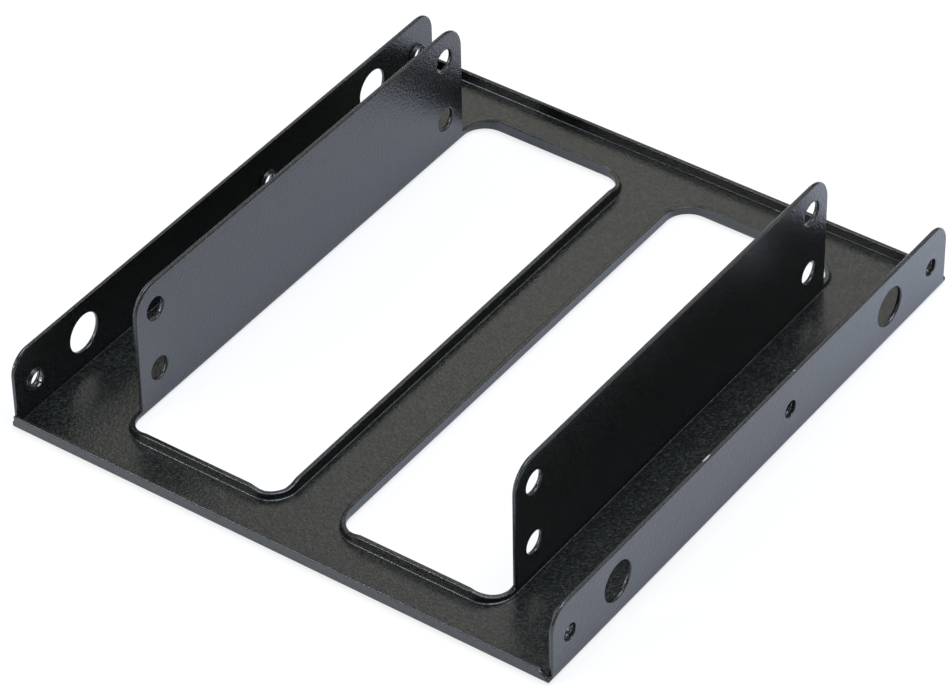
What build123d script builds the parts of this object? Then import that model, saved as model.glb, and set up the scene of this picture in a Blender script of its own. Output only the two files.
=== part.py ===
from build123d import *
import os

# Drive bay adapter bracket: one folded steel sheet that holds a small drive between its inner walls and
# is screwed into a wider bay through its outer flanges.
# Millimetres. X runs across the bay, Y runs to the back, Z is up; the origin is the middle of the underside.

# Sheet and folds
sheet = 0.8
inner_bend = 0.3
outer_bend = inner_bend + sheet
edge_break = 0.25

# Overall size
width = 101.6
depth = 112.7

# Outer flanges
flange_height = 13.5
flange_corner = 4.0
seam = 0.1

# Low lips at the front and back edges, cut square at their left ends and sloped at their right ends
end_lip_height = 2.7
end_lip_inset = 0.5
end_lip_step = 0.3
end_lip_slope = 1.9
end_lip_drop = 1.2
corner_radius = 0.8

# Inner walls, one on each side of the drive
drive_width = 70.1
wall_height = 24.45
wall_length = 86.3
wall_corner = 4.8

# Windows in the base, with a strip between them
strip_width = 11.1
window_length = 95.2
window_corner = 4.0
window_lip_height = 2.55
wall_rim_height = 1.4
wall_slope_lead = 0.3
strip_dip_height = 1.95
strip_dip_lead = 0.85
strip_dip_slope = 14

# Tapped bay screw holes in the flanges
bay_hole_radius = 1.4
bay_hole_height = 6.7
bay_hole_span = 101.6
bay_hole_middle = 60.0
collar_radius = 1.85
collar_height = 0.65

# Drive screw holes in the walls, and the larger flange holes a screwdriver passes through
drive_hole_radius = 2.0
drive_hole_height = 7.2
drive_hole_pitch = 12.0
drive_hole_span = 76.6
access_hole_radius = 3.45

# Sizes that follow from the ones above
end_length = sheet + seam
flange_length = depth - 2 * end_length
end_lip_length = width - 2 * end_lip_inset
end_lip_height_left = end_lip_height - end_lip_step
end_lip_height_right = end_lip_height - end_lip_drop
window_width = (drive_width - strip_width) / 2
window_x = (drive_width + strip_width) / 4
rim_width = window_width + 2 * sheet
rim_length = window_length + 2 * sheet
rim_corner = window_corner + sheet
wall_slope_start = window_width / 2 - window_corner - wall_slope_lead
strip_dip_reach = rim_corner + strip_dip_lead
bay_hole_y = [-bay_hole_span / 2, -bay_hole_span / 2 + bay_hole_middle, bay_hole_span / 2]
drive_hole_y = [-drive_hole_span / 2, drive_hole_span / 2]


def break_outline(blade, across, height):
    """Breaks the edges of a standing sheet all round, apart from those at its foot."""
    outlines = blade.faces().filter_by(across).edges()
    chamfer(outlines.filter_by_position(Axis.Z, outer_bend, height, (False, True)), edge_break)


def upright(length, height, corner):
    """A sheet standing along Y from the top of the folds, with rounded upper corners."""
    with BuildPart() as blade:
        with BuildSketch(Plane.YZ.offset(-sheet / 2)) as side_view:
            with Locations((0, (outer_bend + height) / 2)):
                Rectangle(length, height - outer_bend)
            fillet(side_view.vertices().group_by(Axis.Y)[-1], corner)
        extrude(amount=sheet)
        break_outline(blade, Axis.X, height)
    return blade.part


flange = upright(flange_length, flange_height, flange_corner)
wall = upright(wall_length, wall_height, wall_corner)

# A lip along the front or back edge, stepped at its left end and sloped at its right end
with BuildPart() as end_lip:
    with BuildSketch(Plane.XZ.offset(-sheet / 2)):
        with BuildLine():
            Polyline(
                (-end_lip_length / 2, outer_bend),
                (-end_lip_length / 2, end_lip_height_left),
                (-end_lip_length / 2 + end_lip_step, end_lip_height),
                (end_lip_length / 2 - end_lip_slope, end_lip_height),
                (end_lip_length / 2, end_lip_height_right),
                (end_lip_length / 2, outer_bend),
                close=True,
            )
        make_face()
    extrude(amount=sheet)
    break_outline(end_lip, Axis.Y, end_lip_height)

# The rim of one window, with the wall's side on its right. It falls in a slope towards the wall, and dips at
# the two corners beside the strip. The punch rounded only the edge that faces away from the window.
with BuildPart() as rim:
    with BuildSketch(Plane.XY.offset(outer_bend)):
        RectangleRounded(rim_width, rim_length, rim_corner)
    extrude(amount=window_lip_height - outer_bend)
    with BuildSketch(Plane.XZ):
        with BuildLine():
            Polyline(
                (wall_slope_start, window_lip_height),
                (rim_width / 2, wall_rim_height),
                (rim_width / 2, window_lip_height),
                close=True,
            )
        make_face()
    extrude(amount=rim_length / 2, both=True, mode=Mode.SUBTRACT)
    with BuildSketch(Plane.XY.offset(window_lip_height)):
        with Locations((-rim_width / 2, -rim_length / 2), (-rim_width / 2, rim_length / 2)):
            Rectangle(2 * strip_dip_reach, 2 * strip_dip_reach)
    extrude(amount=strip_dip_height - window_lip_height, taper=90 - strip_dip_slope, mode=Mode.SUBTRACT)
    sides = rim.faces().filter_by(lambda face: round(face.normal_at().Z, 2) == 0)
    outlines = sides.edges().filter_by(Axis.Z, reverse=True)
    fillet(outlines.filter_by_position(Axis.Z, outer_bend, window_lip_height, (False, True)), edge_break)
    with BuildSketch(Plane.XY.offset(outer_bend)):
        RectangleRounded(window_width, window_length, window_corner)
    extrude(amount=window_lip_height - outer_bend, mode=Mode.SUBTRACT)

with BuildPart() as bracket:
    # The base is a shallow tray, with the outer fold radius underneath and the inner one on its floor
    with BuildSketch(Plane.XY):
        Rectangle(width, depth)
    extrude(amount=end_lip_height)
    fillet(bracket.faces().sort_by(Axis.Z)[0].edges(), outer_bend)
    with BuildSketch(Plane.XY.offset(sheet)):
        Rectangle(width - 2 * sheet, depth - 2 * sheet)
    extrude(amount=end_lip_height - sheet, mode=Mode.SUBTRACT)
    floor = bracket.faces().filter_by(Axis.Z).group_by(Axis.Z)[1][0]
    fillet(floor.edges(), inner_bend)

    # A rim goes round each window, folded up out of the base
    with BuildSketch(Plane.XY.offset(sheet)):
        with GridLocations(2 * window_x, 0, 2, 1):
            RectangleRounded(rim_width, rim_length, rim_corner)
    extrude(amount=end_lip_height - sheet)
    with BuildSketch(Plane.XY):
        with GridLocations(2 * window_x, 0, 2, 1):
            RectangleRounded(window_width, window_length, window_corner)
    extrude(amount=end_lip_height, mode=Mode.SUBTRACT)
    underside = bracket.faces().filter_by(Axis.Z).sort_by(Axis.Z)[0]
    fillet([edge for wire in underside.inner_wires() for edge in wire.edges()], outer_bend)
    floor = bracket.faces().filter_by(Axis.Z).sort_by(SortBy.AREA)[-1]
    fillet([edge for wire in floor.inner_wires() for edge in wire.edges()], inner_bend)
    split(bisect_by=Plane.XY.offset(outer_bend), keep=Keep.BOTTOM)

    # What stands on the folds: the outer flanges, the end lips and the window rims
    with GridLocations(width - sheet, 0, 2, 1):
        add(flange)
    with GridLocations(0, depth - sheet, 1, 2):
        add(end_lip.part)
    with Locations((window_x, 0)):
        add(rim.part)
    with Locations((-window_x, 0)):
        add(rim.part, rotation=(0, 0, 180))

    # The four corners are rounded where the folds of two edges meet
    with BuildSketch(Plane.XY):
        Rectangle(width, depth)
        RectangleRounded(width, depth, corner_radius, mode=Mode.SUBTRACT)
    extrude(amount=end_lip_height, mode=Mode.SUBTRACT)

    # Inner walls stand on the outer long edges of the windows
    with GridLocations(drive_width + sheet, 0, 2, 1):
        add(wall)

    # Bay screw holes, each with a drawn collar on the inner face of the flange, and access holes
    for side in (-1, 1):
        with BuildSketch(Plane.YZ.offset(side * (width / 2 - sheet))):
            with Locations(*[(y, bay_hole_height) for y in bay_hole_y]):
                Circle(collar_radius)
        extrude(amount=-side * collar_height)
        with BuildSketch(Plane.YZ.offset(side * width / 2)):
            with Locations(*[(y, bay_hole_height) for y in bay_hole_y]):
                Circle(bay_hole_radius)
            with Locations(*[(y, drive_hole_height) for y in drive_hole_y]):
                Circle(access_hole_radius)
        extrude(amount=-side * (sheet + collar_height), mode=Mode.SUBTRACT)

    # Drive screw holes, two above two in each wall
    for side in (-1, 1):
        with BuildSketch(Plane.YZ.offset(side * drive_width / 2)):
            with Locations(*[(y, drive_hole_height) for y in drive_hole_y]):
                Circle(drive_hole_radius)
            with Locations(*[(y, drive_hole_height + drive_hole_pitch) for y in drive_hole_y]):
                Circle(drive_hole_radius)
        extrude(amount=side * sheet, mode=Mode.SUBTRACT)

bracket.part.label = "bracket"
os.makedirs("parts", exist_ok=True)
export_step(bracket.part, "parts/bracket.step")
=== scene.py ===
# %% [markdown]
# # A powder coated drive bay bracket
# The real bracket is one sheet of mild steel, punched, folded on a press and coated black. The solid model
# already has the folds, holes and lips. This lesson gives it softened edges, screw threads, a grained coating
# and a white studio, so that it looks like the product on a plain white page.

# %% Load the frame
import math

import bmesh
import bpy
from mathutils import Matrix, Vector


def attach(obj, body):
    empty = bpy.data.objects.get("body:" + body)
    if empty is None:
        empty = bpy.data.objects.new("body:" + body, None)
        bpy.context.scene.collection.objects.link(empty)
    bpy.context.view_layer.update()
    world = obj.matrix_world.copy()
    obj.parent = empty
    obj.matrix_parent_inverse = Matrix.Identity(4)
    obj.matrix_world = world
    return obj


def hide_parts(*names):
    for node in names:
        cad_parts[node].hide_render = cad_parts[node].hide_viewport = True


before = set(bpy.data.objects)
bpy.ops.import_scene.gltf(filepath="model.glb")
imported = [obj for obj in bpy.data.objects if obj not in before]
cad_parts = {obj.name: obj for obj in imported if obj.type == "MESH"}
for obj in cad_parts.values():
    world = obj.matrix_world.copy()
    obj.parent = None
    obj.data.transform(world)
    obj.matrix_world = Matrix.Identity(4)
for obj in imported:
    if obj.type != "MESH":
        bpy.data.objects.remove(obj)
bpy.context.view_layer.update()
MM = 0.001

# %% [markdown]
# ## The folded sheet
# Coating rounds every cut edge of the steel a little, and light catches those edges as thin bright lines.
# A Bevel modifier could round them all, but it fights with the folds, which are round already. So a copy of
# the solid's mesh is merged and its flat areas are cleaned into single faces. Its sharp rims are then rounded
# by operator, each kind of rim by its own size.

# %% Copy the sheet and merge it
FLAT = math.radians(0.4)
SHARP = math.radians(70)
WELD = 0.001 * MM

sheet = bmesh.new()
sheet.from_mesh(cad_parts["bracket"].data)
bmesh.ops.remove_doubles(sheet, verts=sheet.verts, dist=WELD)
bmesh.ops.dissolve_limit(sheet, angle_limit=FLAT, verts=sheet.verts, edges=sheet.edges)
print("merged sheet:", len(sheet.verts), "points,", len(sheet.faces), "faces")

# %% [markdown]
# ## Room for the threads
# The six small flange holes are punched, drawn into short collars and tapped. A tapped hole is wider at the
# roots of its thread than at the crests, and the solid has only the crest size. The walls of those holes are
# moved out to the root size, and the thread is added later as a ridge that comes back in to the crest size.

# %% Widen the tapped holes
# The flange's outer face, the collars' inner ends and the holes' places are as the solid has them
FLANGE_X = 50.8 * MM
COLLAR_X = 49.35 * MM
HOLE_Z = 6.7 * MM
HOLE_Y = [y * MM for y in (-50.8, 9.2, 50.8)]
CREST = 1.4 * MM
ROOT = 1.52 * MM
ON_BORE = 0.02 * MM


def off_axis(point, y):
    """Where a point lies across a tapped hole's axis, which runs along X."""
    return Vector((0, point.y - y, point.z - HOLE_Z))


bore_points = []
for y in HOLE_Y:
    for v in sheet.verts:
        away = off_axis(v.co, y)
        if abs(v.co.x) > COLLAR_X - WELD and abs(away.length - CREST) < ON_BORE:
            v.co += away.normalized() * (ROOT - CREST)
            bore_points.append(v)
print("points on the tapped holes:", len(bore_points))

# %% [markdown]
# ## Rounded rims
# A punch drags the steel in with it, and the coat builds up round the edge, so the holes that the drive's
# screws and the screwdriver pass through have rims rounded almost to the middle of the sheet. That is why a
# hole seen at a slant shows only a thin bright crescent of its wall. The collars are rounded too, and the
# mouths of the tapped holes on the outside stay nearly square.

# %% Pick out the rims
# Sizes are the widths that a rounding takes off each face. The walls and flanges are told by where they stand
RIM = 0.12 * MM
PUNCHED_RIM = 0.25 * MM
COLLAR_RIM = 0.13 * MM
COLLAR_RADIUS = 1.85 * MM
WALL_X = 34.9 * MM
FOLD_TOP = 3.0 * MM


def is_sharp(edge):
    """True where two faces meet at a corner that no fold has rounded."""
    return edge.is_manifold and edge.calc_face_angle() > SHARP


def on_collar(edge):
    """True for the edges at the inner end of a collar, round the bore and round the outside."""
    points = [v.co for v in edge.verts]
    near = [y for y in HOLE_Y if all(off_axis(p, y).length < COLLAR_RADIUS + WELD for p in points)]
    return bool(near) and all(abs(p.x) < COLLAR_X + WELD for p in points)


def on_upright(edge):
    """True for edges well above the folds, on the walls and the flanges."""
    return all(abs(v.co.x) > WALL_X and v.co.z > FOLD_TOP for v in edge.verts)


bore = set(bore_points)
sharp = [e for e in sheet.edges if is_sharp(e)]
collars = [e for e in sharp if on_collar(e)]
mouths = [e for e in sharp if e not in collars and e.verts[0] in bore and e.verts[1] in bore]
punched = [e for e in sharp if on_upright(e) and e not in collars and e not in mouths]
print("rim edges:", len(collars), "on collars,", len(mouths), "on mouths,", len(punched), "punched")

# %% Soften the rims


def soften(edges, size, segments=2):
    """Rounds these edges with a few segments, leaving out those that an earlier bevel has used up."""
    bmesh.ops.bevel(
        sheet, geom=[e for e in edges if e.is_valid], offset=size, offset_type="OFFSET", segments=segments,
        profile=0.5, affect="EDGES", clamp_overlap=False, material=-1,
    )


soften(collars, COLLAR_RIM, 3)
soften(mouths, RIM)
soften(punched, PUNCHED_RIM, 3)
soften([e for e in sheet.edges if is_sharp(e)], RIM)
print("with soft rims:", len(sheet.verts), "points,", len(sheet.faces), "faces")

# %% Clear the slivers
# A sliver left where bevels run out has a stray normal, which would shade the broad face beside it
SLIVER = 0.004 * MM
bmesh.ops.remove_doubles(sheet, verts=sheet.verts, dist=SLIVER)
bmesh.ops.dissolve_degenerate(sheet, dist=SLIVER, edges=sheet.edges)
print("open edges left:", len([e for e in sheet.edges if not e.is_manifold]))

# %% [markdown]
# ## Shading the sheet
# Smooth shading with weighted normals keeps the broad faces truly flat and lets the narrow bevels turn the
# light, which is how a thick coating looks on an edge. The faces that lie square to an axis are marked as
# strong, so that at their borders they alone set the normal, however they happen to be split up.

# %% Mark the strong faces
# The Weighted Normal modifier reads the strength of a face from a layer of this name
STRENGTH_LAYER = "__mod_weightednormals_faceweight"
STRONG = 16384
SQUARE = 0.99999

strength = sheet.faces.layers.int.new(STRENGTH_LAYER)
square_faces = [face for face in sheet.faces if max(abs(c) for c in face.normal) > SQUARE]
for face in square_faces:
    face[strength] = STRONG
print("faces square to an axis:", len(square_faces))

# %% Make the sheet's piece
CREASE = math.radians(62)


def finish_piece(mesh_in_work, name):
    """Shades a bmesh smooth apart from its creases, and makes it a piece that rides on the bracket's body."""
    for face in mesh_in_work.faces:
        face.smooth = True
    for edge in mesh_in_work.edges:
        edge.smooth = not (edge.is_manifold and edge.calc_face_angle() > CREASE)
    data = bpy.data.meshes.new(name)
    mesh_in_work.to_mesh(data)
    mesh_in_work.free()
    piece = bpy.data.objects.new(name, data)
    bpy.context.scene.collection.objects.link(piece)
    weighted = piece.modifiers.new("even_faces", "WEIGHTED_NORMAL")
    weighted.keep_sharp = True
    weighted.weight = 100
    weighted.use_face_influence = True
    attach(piece, "root")
    print(name, len(data.vertices), "points,", len(data.polygons), "faces")
    return piece


bracket = finish_piece(sheet, "folded_sheet")
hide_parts("bracket")

# %% [markdown]
# ## The screw threads
# The thread is cut with a tap at a pitch of 0.794 mm, 32 threads to the inch, so a hole 1.45 mm deep holds
# less than two turns. A helix could come from a Screw modifier, but the spin operator does the same with a
# step along the axis, and its ends can be closed at once. One ridge is made and repeated in the six holes.

# %% Spin the thread ridges
PITCH = 0.794 * MM
DEPTH = 1.45 * MM
TURNS = DEPTH / PITCH - 0.75
STEPS = 40
MOUTH_GAP = 0.3 * PITCH + 0.06 * MM
BASE_HALF = 0.36 * PITCH
CREST_HALF = 0.08 * PITCH
SINK = 0.05 * MM
SECTION = (
    (-BASE_HALF, ROOT + SINK), (-CREST_HALF, CREST), (CREST_HALF, CREST), (BASE_HALF, ROOT + SINK),
)

ridges = bmesh.new()
for side in (-1, 1):
    for y in HOLE_Y:
        profile = [
            ridges.verts.new((side * (FLANGE_X - MOUTH_GAP - along), y, HOLE_Z - radius))
            for along, radius in SECTION
        ]
        bmesh.ops.spin(
            ridges, geom=[ridges.faces.new(profile)], cent=(0, y, HOLE_Z), axis=(1, 0, 0),
            dvec=(-side * PITCH * TURNS / STEPS, 0, 0), angle=-side * 2 * math.pi * TURNS, steps=STEPS,
        )
bmesh.ops.remove_doubles(ridges, verts=ridges.verts, dist=WELD)
bmesh.ops.recalc_face_normals(ridges, faces=ridges.faces)
threads = finish_piece(ridges, "screw_threads")
print("turns in each hole:", round(TURNS, 2))

# %% [markdown]
# ## Black powder coat
# The finish is a polyester powder coat: dry powder is sprayed on charged steel and melted in an oven. It
# flows into a satin skin with a fine leathery grain. To the eye it is a nearly black plastic, so it isn't
# metallic, and most of what shows is the white room mirrored in a slightly rough surface.

# %% Colour and node helpers


def srgb(hex_code):
    """A hex colour as the linear values that Blender's sockets take."""
    channels = [int(hex_code[i:i + 2], 16) / 255 for i in (1, 3, 5)]
    return [c / 12.92 if c <= 0.04045 else ((c + 0.055) / 1.055) ** 2.4 for c in channels] + [1.0]


def add_node(tree, kind, settings=None, inputs=None, links=None):
    """Adds a node, sets its settings and input values, and links other nodes' outputs to its inputs."""
    node = tree.nodes.new("ShaderNode" + kind)
    for name, value in (settings or {}).items():
        setattr(node, name, value)
    for name, value in (inputs or {}).items():
        node.inputs[name].default_value = value
    for name, source in (links or {}).items():
        tree.links.new(source, node.inputs[name])
    return node


def new_material(name):
    """An empty node material with its output."""
    material = bpy.data.materials.new(name)
    material.use_nodes = True
    material.node_tree.nodes.clear()
    output = add_node(material.node_tree, "OutputMaterial")
    return material, material.node_tree, output


# %% Mix the powder coat
# The real grain is finer than a pixel in places, so it is drawn as coarse as it has to be to show
GRAIN = 0.5 * MM
PEEL = 0.3 * MM
RELIEF = 0.1 * MM
DRIFT = 14 * MM

coat, tree, output = new_material("black_powder_coat")
place = add_node(tree, "TexCoord").outputs["Object"]
drift = add_node(tree, "TexNoise", inputs={"Scale": 1 / DRIFT, "Detail": 2.0}, links={"Vector": place})
wrinkle = add_node(
    tree, "TexNoise", inputs={"Scale": 1 / GRAIN, "Detail": 2.0, "Roughness": 0.55}, links={"Vector": place},
)
peel = add_node(
    tree, "TexNoise", inputs={"Scale": 1 / PEEL, "Detail": 2.0, "Roughness": 0.5}, links={"Vector": place},
)
relief = add_node(
    tree, "Mix", {"data_type": "FLOAT"}, {"Factor": 0.45},
    {"A": wrinkle.outputs["Fac"], "B": peel.outputs["Fac"]},
)
bump = add_node(
    tree, "Bump", inputs={"Strength": 1.0, "Distance": RELIEF}, links={"Height": relief.outputs["Result"]},
)
contrast = add_node(
    tree, "MapRange", inputs={"From Min": 0.45, "From Max": 0.63}, links={"Value": relief.outputs["Result"]},
)
tint = add_node(tree, "Mix", {"data_type": "RGBA"}, links={"Factor": contrast.outputs["Result"]})
tint.inputs["A"].default_value = srgb("#04070C")
tint.inputs["B"].default_value = srgb("#282B21")
sheen = add_node(
    tree, "MapRange", inputs={"To Min": 0.21, "To Max": 0.28}, links={"Value": drift.outputs["Fac"]},
)
print("nodes so far:", len(tree.nodes))

# %% [markdown]
# ## Chips in the coat
# The coat is thinnest on the cut edges, and handling knocks it off there. The photograph shows a short bright
# streak and a few specks of bare steel on the flanges' edges. Each is an ellipsoid round a point, stretched
# along the edge and made ragged by the fine noise, and inside it the coat turns into bright metal.

# %% Chip the coat
# Each chip has its point, its radius and its reach along the edge, in mm. The noise then pulls its border in
# and out by about a third of that
RAGGED = 0.6
CHIPS = (
    ((50.35, -14.1, 13.5), 0.17, 1.05), ((50.4, 10.4, 13.5), 0.13, 0.13), ((50.75, -54.65, 12.1), 0.22, 0.22),
    ((50.75, -52.6, 13.35), 0.2, 0.2), ((-50.4, -55.05, 11.8), 0.3, 0.3),
)
bare = None
for spot, radius, reach in CHIPS:
    shift = add_node(tree, "VectorMath", {"operation": "SUBTRACT"}, {1: [c * MM for c in spot]}, {0: place})
    ratio = add_node(
        tree, "VectorMath", {"operation": "DIVIDE"}, {1: [radius * MM, reach * MM, radius * MM]},
        {0: shift.outputs["Vector"]},
    )
    away = add_node(tree, "VectorMath", {"operation": "LENGTH"}, links={0: ratio.outputs["Vector"]})
    ragged = add_node(
        tree, "Math", {"operation": "MULTIPLY_ADD"}, {1: RAGGED},
        {0: peel.outputs["Fac"], 2: away.outputs["Value"]},
    )
    chip = add_node(
        tree, "MapRange", inputs={"From Min": 1.3, "From Max": 1.2}, links={"Value": ragged.outputs[0]},
    ).outputs["Result"]
    if bare is None:
        bare = chip
    else:
        bare = add_node(tree, "Math", {"operation": "MAXIMUM"}, links={0: bare, 1: chip}).outputs[0]
colour = add_node(tree, "Mix", {"data_type": "RGBA"}, links={"Factor": bare})
tree.links.new(tint.outputs["Result"], colour.inputs["A"])
colour.inputs["B"].default_value = srgb("#C4C6C8")
skin = add_node(
    tree, "BsdfPrincipled", inputs={"IOR": 1.6},
    links={
        "Base Color": colour.outputs["Result"], "Metallic": bare, "Roughness": sheen.outputs["Result"],
        "Normal": bump.outputs["Normal"],
    },
)
tree.links.new(skin.outputs["BSDF"], output.inputs["Surface"])
bracket.data.materials.clear()
bracket.data.materials.append(coat)
print("powder coat:", len(CHIPS), "chips,", len(tree.nodes), "nodes")

# %% [markdown]
# ## The cut threads
# The tap leaves the thread flanks smoother than the coated sheet, and oil and coat dust in them keep them
# nearly black. So the ridges, and the walls of the bores between them, get a plain dark skin without the
# grain, in which the light draws narrow crescents.

# %% Mix the thread's finish
thread_skin, tree, output = new_material("dark_cut_thread")
flank = add_node(
    tree, "BsdfPrincipled", inputs={"Base Color": srgb("#16181A"), "Roughness": 0.15, "IOR": 1.8},
)
tree.links.new(flank.outputs["BSDF"], output.inputs["Surface"])
threads.data.materials.clear()
threads.data.materials.append(thread_skin)

# %% Give the bores between the ridges the same finish
TAPPED = ROOT + 0.15 * MM

bracket.data.materials.append(thread_skin)
tapped_faces = 0
for face in bracket.data.polygons:
    points = [bracket.data.vertices[i].co for i in face.vertices]
    if any(all(off_axis(p, y).length < TAPPED for p in points) for y in HOLE_Y):
        face.material_index = 1
        tapped_faces += 1
print("faces inside the tapped holes:", tapped_faces)

# %% [markdown]
# ## The white studio
# The product lies on a white sweep. The floor is a real white surface, so it keeps the bracket's shadow, and
# a share of plain glow, seen by the camera alone, brings it up to the white of the page.

# %% Floor and backdrop
FLOOR_SIZE = 6.0
FLOOR_GAP = 0.02 * MM
GLOW_SHARE = 0.8

grid = bmesh.new()
bmesh.ops.create_grid(grid, x_segments=1, y_segments=1, size=FLOOR_SIZE / 2)
floor_mesh = bpy.data.meshes.new("white_sweep")
grid.to_mesh(floor_mesh)
grid.free()
floor = bpy.data.objects.new("white_sweep", floor_mesh)
floor.location.z = -FLOOR_GAP
bpy.context.scene.collection.objects.link(floor)

paper, tree, output = new_material("white_paper")
matt = add_node(tree, "BsdfDiffuse", inputs={"Color": srgb("#F4F4F4")})
glow = add_node(tree, "Emission", inputs={"Color": srgb("#FFFFFF"), "Strength": 1.0})
ray = add_node(tree, "LightPath")
share = add_node(tree, "Math", {"operation": "MULTIPLY"}, {1: GLOW_SHARE}, {0: ray.outputs["Is Camera Ray"]})
mix = add_node(tree, "MixShader")
tree.links.new(share.outputs[0], mix.inputs[0])
tree.links.new(matt.outputs[0], mix.inputs[1])
tree.links.new(glow.outputs[0], mix.inputs[2])
tree.links.new(mix.outputs[0], output.inputs["Surface"])
floor_mesh.materials.append(paper)
print("floor:", FLOOR_SIZE, "m wide,", FLOOR_GAP / MM, "mm under the bracket")

# %% [markdown]
# ## The light
# A dark glossy skin shows little but what it mirrors, so each panel stands where one kind of face mirrors it
# towards the camera. The broad one overhead gives the soft shadow and the bluish cast of the upright faces.
# The one at the back lies in the mirror direction of the base and lights its grain. Two at the front catch
# the front lip and the rounded edges, a small one at the back catches the folds, and one just above the floor
# brightens the paper that the right flange mirrors. The white world fills in the rest.

# %% World
# It is dimmer than paper, because a black skin mirrors it from every side at once
world = bpy.data.worlds.new("white_room")
bpy.context.scene.world = world
world.use_nodes = True
world.node_tree.nodes.clear()
air = add_node(world.node_tree, "Background", inputs={"Color": srgb("#FFFEFB"), "Strength": 0.32})
add_node(world.node_tree, "OutputWorld", links={"Surface": air.outputs[0]})

# %% Soft panels


def soft_panel(name, spot, aim, size, radiance, hex_code="#FFFFFF"):
    """A square area light at spot, facing aim. A radiance of 1 is as bright as white paper in this room."""
    data = bpy.data.lights.new(name, "AREA")
    data.shape = "SQUARE"
    data.size = size
    data.energy = radiance * math.pi * size ** 2
    data.color = srgb(hex_code)[:3]
    lamp = bpy.data.objects.new(name, data)
    lamp.visible_camera = False
    spot = Vector(spot)
    turn = (Vector(aim) - spot).to_track_quat("-Z", "Y").to_matrix().to_4x4()
    lamp.matrix_world = Matrix.Translation(spot) @ turn
    bpy.context.scene.collection.objects.link(lamp)
    print(name, "at", [round(c, 2) for c in spot], "m,", round(data.energy, 2), "W")
    return lamp


soft_panel("front_panel", (-0.45, -0.75, 0.30), (0, -0.06, 0), 0.4, 3.5)
soft_panel("edge_panel", (-0.45, -0.65, 0.62), (0, 0, 0), 0.15, 28.0)
soft_panel("back_panel", (-0.44, 0.66, 0.63), (0, 0, 0), 0.36, 0.98, "#FFFAEE")
soft_panel("crest_panel", (-0.06, 0.62, 0.78), (0, 0, 0), 0.12, 9.0)
soft_panel("top_panel", (0.2, 0.1, 1.4), (0, 0, 0), 1.0, 7.7, "#DCE7FF")
floor_panel = soft_panel("floor_panel", (0.085, 0.075, 0.14), (0.085, 0.075, 0), 0.06, 1.2, "#D2E0FF")
floor_panel.data.spread = math.radians(50)

# %% [markdown]
# ## The camera
# The photograph was taken with a long lens from the front right, 40 degrees above the table. Its place was
# worked out from the bracket's own straight edges and hole spacing, so it is set by angles and a distance.

# %% Aim the camera
AZIMUTH = math.radians(35.863)
ELEVATION = math.radians(40.268)
ROLL = math.radians(-0.970)
DISTANCE = 752.304 * MM
TO_THE_RIGHT = -1.797 * MM
UPWARDS = 0.938 * MM
LENS = 180.24
SENSOR = 36

forward = Vector((
    -math.sin(AZIMUTH) * math.cos(ELEVATION), math.cos(AZIMUTH) * math.cos(ELEVATION), -math.sin(ELEVATION),
))
level = Vector((math.cos(AZIMUTH), math.sin(AZIMUTH), 0))
upright = level.cross(forward)
across = math.cos(ROLL) * level + math.sin(ROLL) * upright
above = -math.sin(ROLL) * level + math.cos(ROLL) * upright
target = TO_THE_RIGHT * level + UPWARDS * upright
spot = target - forward * DISTANCE

camera_data = bpy.data.cameras.new("camera")
camera_data.lens = LENS
camera_data.sensor_width = SENSOR
camera_data.clip_start = 10 * MM
camera = bpy.data.objects.new("camera", camera_data)
camera.matrix_world = Matrix.Translation(spot) @ Matrix((across, above, -forward)).transposed().to_4x4()
bpy.context.scene.collection.objects.link(camera)
bpy.context.scene.camera = camera
bpy.context.scene.view_settings.view_transform = "Standard"
print("camera at", [round(c / MM) for c in spot], "mm")
